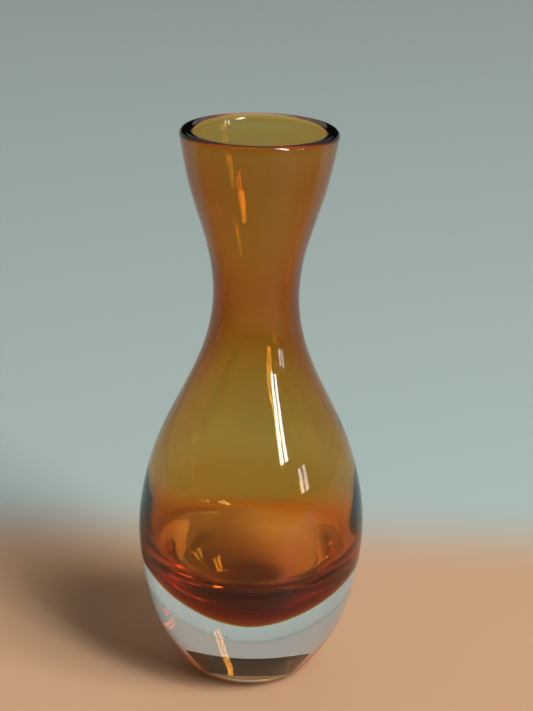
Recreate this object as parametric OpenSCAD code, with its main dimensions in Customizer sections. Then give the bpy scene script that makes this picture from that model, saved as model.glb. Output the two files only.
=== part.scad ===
// Glass bud vase in cased glass, standing on z = 0, millimetres, +Z up.
// An amber bubble of glass holds the cavity. It is cased in clear glass,
// which is a thin skin on the wall and a thick solid base below the amber.
// The two glasses meet face to face all over their fused boundary.

/* [Outline] */
// Overall height
height = 200; // [170:5:230]
// Widest diameter of the flared rim
rim_d = 54; // [48:1:60]
// Narrowest outside diameter of the neck
neck_d = 30; // [28:1:34]
// Height of the narrowest point of the neck
neck_z = 142; // [134:1:148]
// Widest diameter of the belly
belly_d = 80.6; // [76:0.2:88]
// Height of the widest point of the belly
belly_z = 53; // [50:1:56]
// Diameter of the flat that the vase stands on
flat_d = 38; // [34:0.5:42]
// Diameter at the top of the bevel around the flat
foot_d = 48.4; // [46:0.2:52]
// Height of the bevel around the flat
foot_bevel = 4.5; // [3:0.1:6]

/* [Glass] */
// Width of the flat-topped lip
lip_t = 4.8; // [4:0.2:5.6]
// Rounding of the outer edge of the lip
edge_out = 1.6; // [1.2:0.1:2]
// Rounding of the inner edge of the lip
edge_in = 1.6; // [1.2:0.1:2]
// Fall of the lip from its outer to its inner edge
lip_fall = 0.4; // [0:0.1:0.8]
// Wall at the neck
neck_wall = 4.8; // [4:0.2:6]
// Thinnest wall, at the shoulder
shoulder_wall = 3; // [2.6:0.2:4]
// Clear skin over the amber at the lip
skin_lip = 0.6; // [0.4:0.1:1]
// Clear skin over the amber at the belly
skin_belly = 1; // [0.6:0.1:1.4]
// Thickness of the clear base, up to the lowest point of the amber
base_clear = 24.4; // [22:0.2:26]
// Thickness of the amber under the cavity floor
base_amber = 8.6; // [7:0.2:10]

/* [Hidden] */
steps = 5;
rim_r = rim_d / 2;
neck_r = neck_d / 2;
belly_r = belly_d / 2;
foot_r = foot_d / 2;
edge_c = [rim_r - edge_out, height - edge_out];
edge_i = [rim_r - lip_t + edge_in, height - lip_fall - edge_in];
lean = 11;
floor_z = base_clear + base_amber;

function mix(a, b, k) = a + (b - a) * k;
function arc(c, r, a, b, n) = [for (i = [0:n]) c + r * [cos(mix(a, b, i / n)), sin(mix(a, b, i / n))]];
function flip(p) = [for (i = [len(p) - 1:-1:0]) p[i]];

// A smooth curve through [radius, height] stations: a cubic spline over the
// distance from station to station, free at both ends.
function runs(p, s = [0]) = len(s) == len(p) ? s :
    runs(p, concat(s, [s[len(s) - 1] + norm(p[len(s)] - p[len(s) - 1])]));
function sweep(t, p, i = 1, c = [0], d = [[0, 0]]) = i >= len(t) - 1 ? [c, d] :
    let (a = t[i] - t[i - 1], b = t[i + 1] - t[i], m = 2 * (a + b) - a * c[i - 1],
         q = 6 * ((p[i + 1] - p[i]) / b - (p[i] - p[i - 1]) / a))
    sweep(t, p, i + 1, concat(c, [b / m]), concat(d, [(q - a * d[i - 1]) / m]));
function bends(c, d, i, m = [[0, 0]]) = i < 1 ? concat([[0, 0]], m) :
    bends(c, d, i - 1, concat([d[i] - c[i] * m[0]], m));
function on(h, p, q, mp, mq, u) = let (v = 1 - u)
    v * p + u * q + ((v * v * v - v) * mp + (u * u * u - u) * mq) * h * h / 6;
function smooth(p, n = steps) =
    let (t = runs(p), s = sweep(t, p), m = bends(s[0], s[1], len(p) - 2))
    concat([for (i = [0:len(p) - 2]) for (k = [0:n - 1])
            on(t[i + 1] - t[i], p[i], p[i + 1], m[i], m[i + 1], k / n)], [p[len(p) - 1]]);
// The same for a curve that starts on the axis, so that it crosses it level
function from_axis(p) =
    let (c = smooth(concat([[-p[2][0], p[2][1]], [-p[1][0], p[1][1]]], p)))
    [for (q = c) if (q[0] >= -0.0001) [max(0, q[0]), q[1]]];

// Outside: stations below the belly, from belly to neck, and above the neck
low = [[0.15, 0.146], [0.38, 0.585], [0.66, 0.852]];
mid = [[0.215, 0.93], [0.44, 0.68], [0.665, 0.30], [0.82, 0.09]];
top = [[0.32, 0.19], [0.68, 0.69]];
outer = concat(
    [[foot_r, foot_bevel]],
    [for (s = low) [mix(foot_r, belly_r, s[1]), belly_z * s[0]]],
    [[belly_r, belly_z]],
    [for (s = mid) [mix(neck_r, belly_r, s[1]), mix(belly_z, neck_z, s[0])]],
    [[neck_r, neck_z]],
    [for (s = top) [mix(neck_r, rim_r, s[1]), mix(neck_z, height - 2.4, s[0])]],
    [edge_c + edge_out * [cos(-lean), sin(-lean)]]);

// Cavity, from its nearly flat floor up: a short dish, a broad shallow slope, a
// tight turn into the belly, and then the wall inside the outline
function in_mid(i, w) = outer[5 + i] - [w, 0];
cavity = concat(
    [for (s = [[0, 0], [8, 0.1], [13, 0.6], [17, 2.6], [22, 6.3], [27, 9.7], [31, 11.8]])
        [s[0], floor_z + s[1]]],
    [[belly_r - 6.5, floor_z + 14.3], [belly_r - 5, floor_z + 17.6], [belly_r - 4.3, belly_z + 4]],
    [in_mid(0, shoulder_wall), in_mid(1, shoulder_wall + 0.1),
     in_mid(2, mix(shoulder_wall, neck_wall, 0.3)), in_mid(3, mix(shoulder_wall, neck_wall, 0.7)),
     [neck_r - neck_wall, neck_z],
     outer[10] - [mix(neck_wall, lip_t, 0.4) - 0.6, 0], outer[11] - [lip_t - 0.6, 0]],
    [edge_i - edge_in * [cos(-lean), sin(-lean)]]);

// Boundary of the two glasses: a blunt cone under the cavity, a turn just above
// the widest part of the base, and then a line just under the skin
skin_turn = acos(1 - skin_lip / edge_out);
boundary = concat(
    [for (s = [[0, 0], [5, 0.9], [10, 2.9], [15, 5.9], [20, 9.9], [25, 14.8], [30, 17.4], [34, 18.9]])
        [s[0], base_clear + s[1]]],
    [[belly_r - 3, base_clear + 20.8], [belly_r - skin_belly - 0.45, belly_z - 4.2],
     [belly_r - skin_belly, belly_z + 2]],
    [in_mid(0, skin_belly), in_mid(1, mix(skin_belly, skin_lip, 0.2)),
     in_mid(2, mix(skin_belly, skin_lip, 0.4)), in_mid(3, mix(skin_belly, skin_lip, 0.5)),
     [neck_r - mix(skin_belly, skin_lip, 0.6), neck_z],
     outer[10] - [mix(skin_belly, skin_lip, 0.8), 0], outer[11] - [skin_lip, 0]],
    [edge_c + edge_out * [cos(skin_turn), sin(skin_turn)]]);

outer_curve = smooth(outer);
cavity_curve = from_axis(cavity);
boundary_curve = from_axis(boundary);
// The ground bevel, bowed out a little, from the flat up to the side
foot_curve = [for (k = [0:0.25:1])
    [mix(flat_d / 2, foot_r, k), foot_bevel * k] + 0.12 * sin(180 * k) * [0.65, -0.75]];

module clear_outer_casing() {
    color([0.86, 0.93, 0.95, 0.4])
    rotate_extrude()
    polygon(concat([[0, 0]], foot_curve, [for (i = [1:len(outer_curve) - 1]) outer_curve[i]],
        [for (i = [1:4]) arc(edge_c, edge_out, -lean, skin_turn, 4)[i]],
        [for (i = [len(boundary_curve) - 2:-1:0]) boundary_curve[i]]));
}

module amber_inner_glass() {
    color([0.8, 0.45, 0.08, 0.6])
    rotate_extrude()
    polygon(concat(boundary_curve,
        [for (i = [1:3]) arc(edge_c, edge_out, skin_turn, 90, 3)[i]],
        [for (i = [0:5]) arc(edge_i, edge_in, 90, 180 - lean, 6)[i]],
        flip(cavity_curve)));
}

clear_outer_casing();
amber_inner_glass();
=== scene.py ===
"""Looks of the glass bud vase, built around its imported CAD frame.

The two glasses are drawn the way nested glass is drawn for a path tracer:
clear_outer_casing is the whole skin of clear glass that air touches (outside,
foot, lip and cavity), and amber_inner_glass is the colour that lies just under
that skin, bounded below by the fused boundary between the two glasses. Light
bends only where it really does, between glass and air, and is tinted only by
the amber it crosses.
"""

import math
import random

import bmesh
import bpy
from mathutils import Matrix, Vector


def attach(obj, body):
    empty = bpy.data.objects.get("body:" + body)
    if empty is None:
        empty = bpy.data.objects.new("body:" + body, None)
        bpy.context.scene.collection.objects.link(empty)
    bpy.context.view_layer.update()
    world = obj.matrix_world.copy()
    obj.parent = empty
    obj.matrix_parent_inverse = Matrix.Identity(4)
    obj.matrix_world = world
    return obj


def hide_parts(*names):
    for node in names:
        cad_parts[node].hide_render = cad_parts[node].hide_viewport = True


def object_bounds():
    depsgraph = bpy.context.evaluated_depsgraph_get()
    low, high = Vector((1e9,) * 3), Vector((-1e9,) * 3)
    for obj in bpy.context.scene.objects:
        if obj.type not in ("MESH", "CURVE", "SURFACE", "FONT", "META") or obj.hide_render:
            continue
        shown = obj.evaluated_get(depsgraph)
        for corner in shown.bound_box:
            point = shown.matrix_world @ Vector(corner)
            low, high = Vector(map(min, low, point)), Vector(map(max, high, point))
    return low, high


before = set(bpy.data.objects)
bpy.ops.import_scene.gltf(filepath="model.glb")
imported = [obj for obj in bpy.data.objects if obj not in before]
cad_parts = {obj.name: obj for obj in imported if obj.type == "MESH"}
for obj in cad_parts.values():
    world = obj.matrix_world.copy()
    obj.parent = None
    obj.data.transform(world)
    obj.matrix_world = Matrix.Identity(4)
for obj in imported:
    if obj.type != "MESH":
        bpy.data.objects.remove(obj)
cad_box = [list(corner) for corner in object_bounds()]
HEIGHT = (cad_box[1][2] - cad_box[0][2]) * 1000.0
scene = bpy.context.scene
K = HEIGHT / 200.0  # millimetres of the drawing to millimetres of this size

# ---------------------------------------------------------------- section
# The same section as the CAD part, in millimetres at a height of 200, drawn
# with many more points.
RIM, NECK, NECK_Z, BELLY, BELLY_Z = 27.0, 15.0, 142.0, 40.3, 53.0
FLAT, FOOT, BEVEL, TOP = 19.0, 24.2, 4.5, 200.0
LIP, EDGE_OUT, EDGE_IN, FALL, LEAN = 4.8, 1.6, 1.6, 0.4, 11.0
NECK_WALL, SHOULDER_WALL, SKIN_LIP, SKIN_BELLY = 4.8, 3.0, 0.6, 1.0
BASE_CLEAR, BASE_AMBER = 24.4, 8.6


def mix(a, b, k):
    return a + (b - a) * k


def cosd(a):
    return math.cos(math.radians(a))


def sind(a):
    return math.sin(math.radians(a))


def arc(c, r, a, b, n):
    return [
        (c[0] + r * cosd(mix(a, b, i / n)), c[1] + r * sind(mix(a, b, i / n)))
        for i in range(n + 1)
    ]


def smooth(p, n):
    """Cubic spline through stations, over the distance between them, free at both ends."""
    t = [0.0]
    for a, b in zip(p, p[1:]):
        t.append(t[-1] + math.hypot(b[0] - a[0], b[1] - a[1]))
    bends = []
    for ax in (0, 1):
        v = [q[ax] for q in p]
        c, d = [0.0], [0.0]
        for i in range(1, len(p) - 1):
            a, b = t[i] - t[i - 1], t[i + 1] - t[i]
            m = 2 * (a + b) - a * c[i - 1]
            q = 6 * ((v[i + 1] - v[i]) / b - (v[i] - v[i - 1]) / a)
            c.append(b / m)
            d.append((q - a * d[i - 1]) / m)
        m = [0.0] * len(p)
        for i in range(len(p) - 2, 0, -1):
            m[i] = d[i] - c[i] * m[i + 1]
        bends.append(m)
    out = []
    for i in range(len(p) - 1):
        h = t[i + 1] - t[i]
        for k in range(n):
            u = k / n
            w = 1 - u
            out.append(
                tuple(
                    w * p[i][ax]
                    + u * p[i + 1][ax]
                    + ((w**3 - w) * bends[ax][i] + (u**3 - u) * bends[ax][i + 1]) * h * h / 6
                    for ax in (0, 1)
                )
            )
    out.append(tuple(p[-1]))
    return out


def from_axis(p, n):
    c = smooth([(-p[2][0], p[2][1]), (-p[1][0], p[1][1])] + list(p), n)
    return [(max(0.0, q[0]), q[1]) for q in c if q[0] >= -1e-4]


def worn(p, a, b, r):
    """The corner p, on the way from a to b, rounded over a length r on each side."""
    out = []
    ends = []
    for q in (a, b):
        run = math.hypot(q[0] - p[0], q[1] - p[1])
        k = min(0.9, r / run)
        ends.append((mix(p[0], q[0], k), mix(p[1], q[1], k)))
    for i in range(6):
        u = i / 5
        out.append(tuple((1 - u) ** 2 * ends[0][j] + 2 * u * (1 - u) * p[j] + u * u * ends[1][j] for j in (0, 1)))
    return out


def section(n):
    edge_c = (RIM - EDGE_OUT, TOP - EDGE_OUT)
    edge_i = (RIM - LIP + EDGE_IN, TOP - FALL - EDGE_IN)
    floor_z = BASE_CLEAR + BASE_AMBER
    low = [(0.15, 0.146), (0.38, 0.585), (0.66, 0.852)]
    mid = [(0.215, 0.93), (0.44, 0.68), (0.665, 0.30), (0.82, 0.09)]
    top = [(0.32, 0.19), (0.68, 0.69)]
    outer = [(FOOT, BEVEL)]
    outer += [(mix(FOOT, BELLY, s[1]), BELLY_Z * s[0]) for s in low] + [(BELLY, BELLY_Z)]
    outer += [(mix(NECK, BELLY, s[1]), mix(BELLY_Z, NECK_Z, s[0])) for s in mid]
    outer += [(NECK, NECK_Z)]
    outer += [(mix(NECK, RIM, s[1]), mix(NECK_Z, TOP - 2.4, s[0])) for s in top]
    outer += [(edge_c[0] + EDGE_OUT * cosd(LEAN), edge_c[1] - EDGE_OUT * sind(LEAN))]

    def inside(i, w):
        return (outer[5 + i][0] - w, outer[5 + i][1])

    bowl = [(0, 0), (8, 0.1), (13, 0.6), (17, 2.6), (22, 6.3), (27, 9.7), (31, 11.8)]
    cavity = [(r, floor_z + z) for r, z in bowl]
    cavity += [(BELLY - 6.5, floor_z + 14.3), (BELLY - 5, floor_z + 17.6), (BELLY - 4.3, BELLY_Z + 4)]
    cavity += [
        inside(0, SHOULDER_WALL),
        inside(1, SHOULDER_WALL + 0.1),
        inside(2, mix(SHOULDER_WALL, NECK_WALL, 0.3)),
        inside(3, mix(SHOULDER_WALL, NECK_WALL, 0.7)),
        (NECK - NECK_WALL, NECK_Z),
        (outer[10][0] - mix(NECK_WALL, LIP, 0.4) + 0.6, outer[10][1]),
        (outer[11][0] - LIP + 0.6, outer[11][1]),
        (edge_i[0] - EDGE_IN * cosd(LEAN), edge_i[1] + EDGE_IN * sind(LEAN)),
    ]
    cone = [(0, 0), (5, 0.9), (10, 2.9), (15, 5.9), (20, 9.9), (25, 14.8), (30, 17.4), (34, 18.9)]
    fused = [(r, BASE_CLEAR + z) for r, z in cone]
    fused += [
        (BELLY - 3, BASE_CLEAR + 20.8),
        (BELLY - SKIN_BELLY - 0.45, BELLY_Z - 4.2),
        (BELLY - SKIN_BELLY, BELLY_Z + 2),
        inside(0, SKIN_BELLY),
        inside(1, mix(SKIN_BELLY, SKIN_LIP, 0.2)),
        inside(2, mix(SKIN_BELLY, SKIN_LIP, 0.4)),
        inside(3, mix(SKIN_BELLY, SKIN_LIP, 0.5)),
        (NECK - mix(SKIN_BELLY, SKIN_LIP, 0.6), NECK_Z),
        (outer[10][0] - mix(SKIN_BELLY, SKIN_LIP, 0.8), outer[10][1]),
        (outer[11][0] - SKIN_LIP, outer[11][1]),
        (edge_c[0] - SKIN_LIP, edge_c[1] + 0.05),
    ]
    bevel = []
    for i in range(13):
        k = i / 12
        bow = 0.12 * sind(180 * k)
        bevel.append((mix(FLAT, FOOT, k) + 0.65 * bow, BEVEL * k - 0.75 * bow))
    side = smooth(outer, n)
    foot = worn(bevel[0], (FLAT - 2, 0), bevel[1], 0.3) + bevel[1:-1]
    foot += worn(bevel[-1], bevel[-2], side[1], 0.25)
    return {
        "outside": [(0, 0), (5, 0), (10, 0), (15, 0)] + foot + side[1:],
        "edge_c": edge_c,
        "edge_i": edge_i,
        "cavity": from_axis(cavity, n),
        "fused": from_axis(fused, n),
    }


def inset(curve, d):
    """The curve moved d into the glass, away from the cavity."""
    out = []
    for i, (r, z) in enumerate(curve):
        a, b = curve[max(0, i - 1)], curve[min(len(curve) - 1, i + 1)]
        tx, tz = b[0] - a[0], b[1] - a[1]
        run = math.hypot(tx, tz) or 1.0
        out.append((r if r < 1e-6 else r + d * tz / run, z - d * tx / run))
    return out


# ------------------------------------------------------- hand-blown surface
# Slow ripples of a few hundredths of a millimetre, as blown and tooled glass
# has. They bend the reflections without changing the outline.
rand = random.Random(11)


def ripples(count, z_waves, turns, depth):
    return [
        (
            rand.choice(turns),
            2 * math.pi / rand.uniform(*z_waves),
            rand.uniform(0, 2 * math.pi),
            rand.uniform(0, 2 * math.pi),
            depth * rand.uniform(0.5, 1.0),
        )
        for _ in range(count)
    ]


OUT_WAVES = ripples(9, (26, 90), (0, 1, 2, 3, 4, 5), 0.020)
IN_WAVES = ripples(12, (14, 60), (0, 1, 2, 3, 5, 7), 0.042)


def ripple(waves, angle, z):
    return sum(d * math.sin(k * angle + p) * math.sin(w * z + q) for k, w, p, q, d in waves)


def fade(z, a, b):
    u = min(1.0, max(0.0, (z - a) / (b - a)))
    return u * u * (3 - 2 * u)


def revolve(name, profile, waves_of, segments, extra=None):
    """A closed body of revolution from a list of (radius, height, kind)."""
    bm = bmesh.new()
    rings = []
    for r, z, kind in profile:
        ring = []
        steps = 1 if r < 1e-6 else segments
        for k in range(steps):
            a = 2 * math.pi * k / segments
            d = waves_of(kind, a, z) if r > 1e-6 else 0.0
            rr = (r + d * min(1.0, r / 12.0)) * K / 1000
            ring.append(bm.verts.new((rr * math.cos(a), rr * math.sin(a), z * K / 1000)))
        rings.append(ring)
    for a, b in zip(rings, rings[1:]):
        for k in range(segments):
            q = (k + 1) % segments
            if len(a) == 1 and len(b) == 1:
                continue
            if len(a) == 1:
                bm.faces.new((a[0], b[q], b[k]))
            elif len(b) == 1:
                bm.faces.new((a[k], a[q], b[0]))
            else:
                bm.faces.new((a[k], a[q], b[q], b[k]))
    bmesh.ops.recalc_face_normals(bm, faces=bm.faces)
    if extra:
        extra(bm)
    mesh = bpy.data.meshes.new(name)
    bm.to_mesh(mesh)
    bm.free()
    mesh.shade_smooth()
    piece = bpy.data.objects.new(name, mesh)
    scene.collection.objects.link(piece)
    return piece


def seeds(bm):
    """A few tiny air bubbles shut in the thick clear base."""
    for x, y, z, size, tall in (
        (-24.5, -9.5, 29.5, 0.34, 1.5),
        (23.5, -12.0, 24.6, 0.30, 1.3),
        (-10.5, -17.0, 14.5, 0.22, 1.2),
        (15.0, 6.5, 12.0, 0.26, 1.4),
        (-4.0, 12.5, 17.5, 0.20, 1.2),
    ):
        made = bmesh.ops.create_uvsphere(bm, u_segments=16, v_segments=10, radius=size * K / 1000)
        for v in made["verts"]:
            v.co.z *= tall
            v.co += Vector((x, y, z)) * (K / 1000)
        faces = {f for v in made["verts"] for f in v.link_faces}
        bmesh.ops.reverse_faces(bm, faces=list(faces))


def waves_of(kind, a, z):
    if kind == "in":
        return ripple(IN_WAVES, a, z) * fade(z, 33, 42) * (1 - fade(z, 186, 196))
    return ripple(OUT_WAVES, a, z) * fade(z, 1, 12) * (1 - fade(z, 188, 197))


SEGMENTS = 240
SKIN = 0.03  # between the glass surface and the amber just under it
s = section(9)
lip = arc(s["edge_c"], EDGE_OUT, -LEAN, 90, 9) + arc(s["edge_i"], EDGE_IN, 90, 180 - LEAN, 9)
skin_profile = [(r, z, "out") for r, z in s["outside"]]
skin_profile += [(r, z, "lip") for r, z in lip[1:]]
skin_profile += [(r, z, "in") for r, z in s["cavity"][::-1][1:]]
casing = revolve("clear_outer_casing", skin_profile, waves_of, SEGMENTS, seeds)

under_lip = arc((s["edge_c"][0] - SKIN_LIP, s["edge_c"][1]), EDGE_OUT - 0.25, 0, 90, 6)
under_lip += arc(s["edge_i"], EDGE_IN - SKIN, 90, 180 - LEAN, 9)
amber_profile = [(r, z, "out") for r, z in s["fused"] if z < under_lip[0][1] - 0.06]
amber_profile += [(r, z, "lip") for r, z in under_lip]
amber_profile += [(r, z, "in") for r, z in inset(s["cavity"], SKIN)[::-1] if z < under_lip[-1][1] - 0.02]
amber = revolve("amber_inner_glass", amber_profile, waves_of, SEGMENTS)

for piece, node in ((casing, "clear_outer_casing"), (amber, "amber_inner_glass")):
    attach(piece, "root")
    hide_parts(node)


# ---------------------------------------------------------------- materials
def new_material(name):
    m = bpy.data.materials.new(name)
    m.use_nodes = True
    m.node_tree.nodes.clear()
    return m, m.node_tree.nodes, m.node_tree.links


def clear_glass():
    m, n, link = new_material("clear_glass")
    out = n.new("ShaderNodeOutputMaterial")
    b = n.new("ShaderNodeBsdfPrincipled")
    b.inputs["Base Color"].default_value = (1, 1, 1, 1)
    b.inputs["Roughness"].default_value = 0.0
    b.inputs["IOR"].default_value = 1.5
    b.inputs["Transmission Weight"].default_value = 1.0
    link.new(b.outputs[0], out.inputs["Surface"])
    v = n.new("ShaderNodeVolumeAbsorption")
    v.inputs["Color"].default_value = (0.90, 0.88, 0.84, 1)
    v.inputs["Density"].default_value = 5.0
    link.new(v.outputs[0], out.inputs["Volume"])
    return m


def amber_glass():
    m, n, link = new_material("amber_glass")
    out = n.new("ShaderNodeOutputMaterial")
    b = n.new("ShaderNodeBsdfPrincipled")
    b.inputs["Base Color"].default_value = (1, 1, 1, 1)
    b.inputs["Roughness"].default_value = 0.0
    b.inputs["IOR"].default_value = 1.0
    b.inputs["Transmission Weight"].default_value = 1.0
    link.new(b.outputs[0], out.inputs["Surface"])
    v = n.new("ShaderNodeVolumeAbsorption")
    v.inputs["Color"].default_value = (0.909, 0.680, 0.055, 1)
    v.inputs["Density"].default_value = 680.0
    link.new(v.outputs[0], out.inputs["Volume"])
    return m


casing.data.materials.append(clear_glass())
amber.data.materials.append(amber_glass())


# ------------------------------------------------------------------- studio
def floor_material():
    m, n, link = new_material("studio_floor")
    out = n.new("ShaderNodeOutputMaterial")
    b = n.new("ShaderNodeBsdfPrincipled")
    b.inputs["Roughness"].default_value = 0.55
    geo = n.new("ShaderNodeTexCoord")
    span = n.new("ShaderNodeSeparateXYZ")
    link.new(geo.outputs["Object"], span.inputs[0])
    ramp = n.new("ShaderNodeValToRGB")
    near = n.new("ShaderNodeMapRange")
    near.inputs["From Min"].default_value = 0.0
    near.inputs["From Max"].default_value = 3.2
    link.new(span.outputs["Y"], near.inputs["Value"])
    link.new(near.outputs[0], ramp.inputs[0])
    ramp.color_ramp.interpolation = "EASE"
    # a warm pale table that turns into a cool pale sweep behind the vase
    stops = ((0.07, (0.47, 0.28, 0.16)), (0.15, (0.33, 0.41, 0.40)), (1.8, (0.36, 0.43, 0.42)), (3.0, (0.50, 0.50, 0.46)))
    e = ramp.color_ramp.elements
    for i, (reach, colour) in enumerate(stops):
        stop = e[i] if i < 2 else e.new(1.0)
        stop.position, stop.color = reach / 3.2, (*colour, 1)
    link.new(ramp.outputs[0], b.inputs["Base Color"])
    link.new(b.outputs[0], out.inputs["Surface"])
    return m


def disc(name, radius, z):
    me = bpy.data.meshes.new(name)
    n = 96
    ring = [(radius * math.cos(2 * math.pi * k / n), radius * math.sin(2 * math.pi * k / n), z) for k in range(n)]
    me.from_pydata(ring, [], [tuple(range(n))])
    o = bpy.data.objects.new(name, me)
    scene.collection.objects.link(o)
    return o


floor = disc("studio_floor", 14.0, -0.00005)
floor.data.materials.append(floor_material())

world = bpy.data.worlds.new("studio")
scene.world = world
world.use_nodes = True
back = world.node_tree.nodes["Background"]
back.inputs["Color"].default_value = (0.55, 0.55, 0.50, 1)
nodes, links = world.node_tree.nodes, world.node_tree.links
where = nodes.new("ShaderNodeTexCoord")
split = nodes.new("ShaderNodeSeparateXYZ")
links.new(where.outputs["Generated"], split.inputs[0])
glow = nodes.new("ShaderNodeMapRange")
glow.interpolation_type = "SMOOTHSTEP"
glow.inputs["From Min"].default_value = -0.7
glow.inputs["From Max"].default_value = 0.6
glow.inputs["To Min"].default_value = 0.20
glow.inputs["To Max"].default_value = 0.62
links.new(split.outputs["Y"], glow.inputs["Value"])
links.new(glow.outputs[0], back.inputs["Strength"])


def softbox(name, spot, aim, wide, tall, watts, colour=(1, 1, 1)):
    light = bpy.data.lights.new(name, "AREA")
    light.shape = "RECTANGLE"
    light.size, light.size_y = wide, tall
    light.energy = watts
    light.color = colour
    o = bpy.data.objects.new(name, light)
    scene.collection.objects.link(o)
    o.location = spot
    o.rotation_mode = "QUATERNION"
    o.rotation_quaternion = (Vector(aim) - Vector(spot)).to_track_quat("-Z", "Y")
    return o


MID = Vector((0, 0, 0.1 * K))
softbox("window_left_pane", (0.73, -0.96, 1.12), MID, 0.115, 1.20, 11.0)
softbox("window_right_pane", (0.83, -0.87, 1.12), MID, 0.105, 1.20, 9.0)
softbox("low_window_left", (3.30, -2.10, 0.80), MID, 0.26, 0.62, 5.0, (0.93, 0.97, 1.0))
softbox("low_window_right", (3.55, -1.75, 0.80), MID, 0.26, 0.62, 4.0, (0.93, 0.97, 1.0))
fill = softbox("side_fill", (8.0, -5.0, 9.0), MID, 5.0, 5.0, 1500.0, (1.0, 0.98, 0.95))
fill.visible_glossy = False
fill.visible_transmission = False



def painted_shade_card(name, reach, low, high, spread, dark):
    """A curved near-black matt card behind the set, rising to the sides, seen only through the glass: painted
    shade, a dark sheet that stands in for the shade seen through the base.
    """
    n = 48
    verts, faces = [], []
    for k in range(n + 1):
        a = mix(-spread, spread, k / n)
        ray = math.radians(90 + a)
        rise = (a / 32) ** 2
        for z in (low + 0.55 * rise, high + 0.95 * rise):
            verts.append((reach * math.cos(ray), reach * math.sin(ray), z))
    for k in range(n):
        faces.append((2 * k, 2 * k + 2, 2 * k + 3, 2 * k + 1))
    me = bpy.data.meshes.new(name)
    me.from_pydata(verts, [], faces)
    o = bpy.data.objects.new(name, me)
    scene.collection.objects.link(o)
    m, nodes, link = new_material(name)
    out = nodes.new("ShaderNodeOutputMaterial")
    b = nodes.new("ShaderNodeBsdfDiffuse")
    b.inputs["Color"].default_value = (dark, dark, dark, 1)
    link.new(b.outputs[0], out.inputs["Surface"])
    me.materials.append(m)
    o.visible_camera = False
    o.visible_shadow = False
    return o


# painted shade: a near-black card that casts no shadow and is seen only in the glass, darkening the view behind
# the vase in place of real shade
painted_shade_card("painted_shade_behind", 3.0, 0.44, 1.16, 42, 0.012)

# ------------------------------------------------------------------- camera
cam_data = bpy.data.cameras.new("camera")
cam = bpy.data.objects.new("camera", cam_data)
scene.collection.objects.link(cam)
focal, eye_h, pitch, roll, eye_x = 1823.366, 1.670814, 0.3435676, 0.0243374, 0.0205748
cam_data.sensor_fit = "AUTO"
cam_data.sensor_width = 36.0
cam_data.lens = focal / 711 * 36
cam_data.clip_start = 0.01
size = 0.2 * K
fw = Vector((0, math.cos(pitch), -math.sin(pitch)))
up = Vector((0, math.sin(pitch), math.cos(pitch)))
rt = Vector((1, 0, 0))
R = rt * math.cos(roll) + up * math.sin(roll)
U = up * math.cos(roll) - rt * math.sin(roll)
cam.matrix_world = Matrix(
    (
        (R.x, U.x, -fw.x, eye_x * size),
        (R.y, U.y, -fw.y, -3.0 * size),
        (R.z, U.z, -fw.z, eye_h * size),
        (0, 0, 0, 1),
    )
)
scene.camera = cam

# ------------------------------------------------------------ light paths
c = scene.cycles
c.max_bounces = 24
c.transmission_bounces = 24
c.glossy_bounces = 12
c.transparent_max_bounces = 24
c.caustics_refractive = True
c.caustics_reflective = True
c.sample_clamp_indirect = 8.0
c.use_denoising = True
scene.view_settings.view_transform = "Standard"
